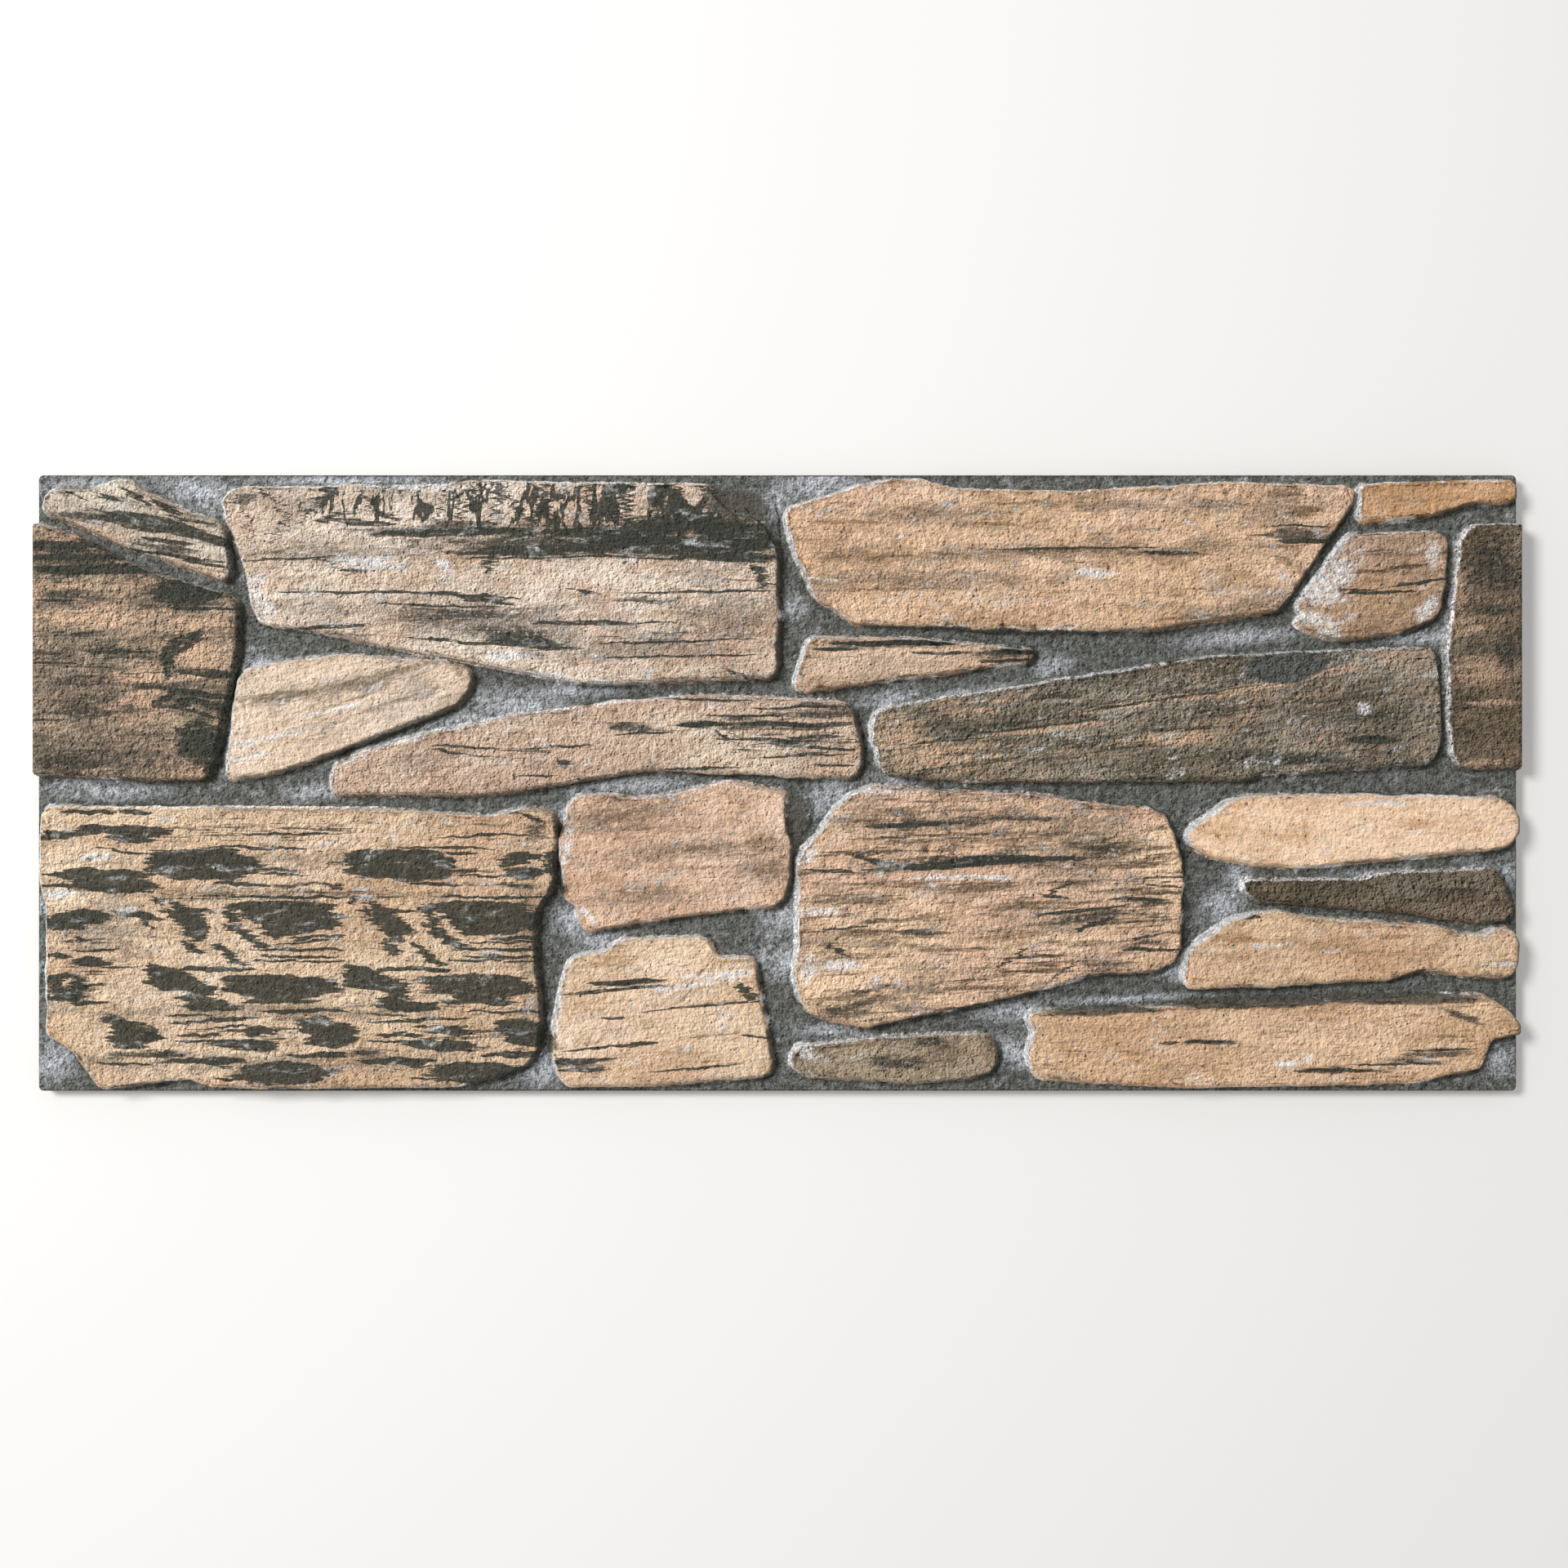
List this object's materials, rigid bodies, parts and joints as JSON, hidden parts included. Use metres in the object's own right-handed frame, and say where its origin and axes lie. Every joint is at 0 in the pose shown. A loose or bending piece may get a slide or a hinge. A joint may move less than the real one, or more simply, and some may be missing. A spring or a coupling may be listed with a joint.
{
  "type": "stone-effect ceramic wall panel",
  "caption": "Rectangular facade tile pressed to look like dry-laid flat sandstones standing out of recessed grey joints, with a ribbed back for adhesive.",
  "frame": {"origin": "centre of the back, in the plane of the lands that touch the wall", "axes": "+X along the tile's length, +Y up the wall, +Z out of the stone face; the tile lies flat on its back"},
  "size_m": [0.6, 0.25, 0.0155],
  "materials": {
    "printed_stoneware": "matte"
  },
  "bodies": {
    "root": {"stone_panel": "printed_stoneware"}
  },
  "joints": []
}
